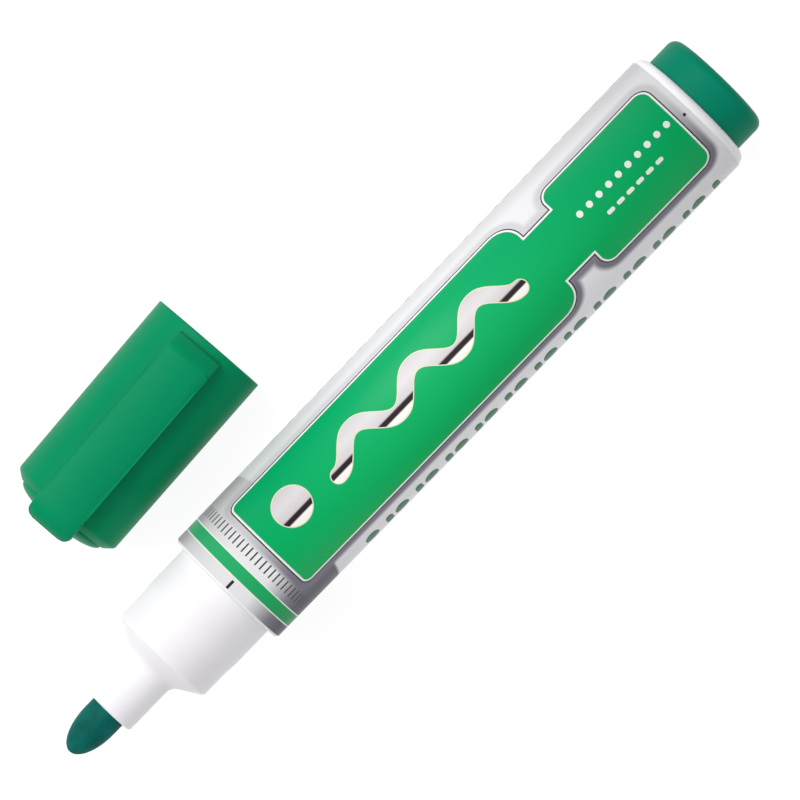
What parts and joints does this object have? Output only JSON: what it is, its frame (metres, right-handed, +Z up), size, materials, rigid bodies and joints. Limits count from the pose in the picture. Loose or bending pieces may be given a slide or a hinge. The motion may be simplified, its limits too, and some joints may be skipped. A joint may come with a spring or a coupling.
{
  "type": "whiteboard marker",
  "caption": "Round bullet-nib whiteboard marker with a tapered printed barrel and a tail plug, its ventilated clip cap pulled off and lying beside it.",
  "frame": {"origin": "centre of the whole object's box, on the surface that the marker and its cap lie on", "axes": "+X along the marker from nib to tail, +Z up from that surface; the cap lies on the +Y side"},
  "size_m": [0.1194, 0.0412, 0.0191],
  "materials": {
    "nib_fibre": "matte, damp with ink",
    "section_plastic": "satin moulded white",
    "barrel_plastic": "satin moulded white",
    "label_print": "gloss printed film with silver",
    "core_fibre": "matte",
    "wrap_film": "clear film",
    "plug_plastic": "satin moulded green",
    "cap_plastic": "satin moulded green",
    "cup_plastic": "satin moulded green"
  },
  "bodies": {
    "marker": {"nib": "nib_fibre", "front_section": "section_plastic", "barrel": "barrel_plastic", "label_film": "label_print", "ink_reservoir": "core_fibre", "reservoir_wrap": "wrap_film", "tail_plug": "plug_plastic"},
    "cap": {"cap_shell": "cap_plastic", "cap_inner_cup": "cup_plastic"}
  },
  "joints": [
    {"name": "cap_pull", "type": "slide", "parent": "marker", "child": "cap", "axis": [-0.9983, -0.0576, 0], "range_m": [0, 0.03]}
  ]
}
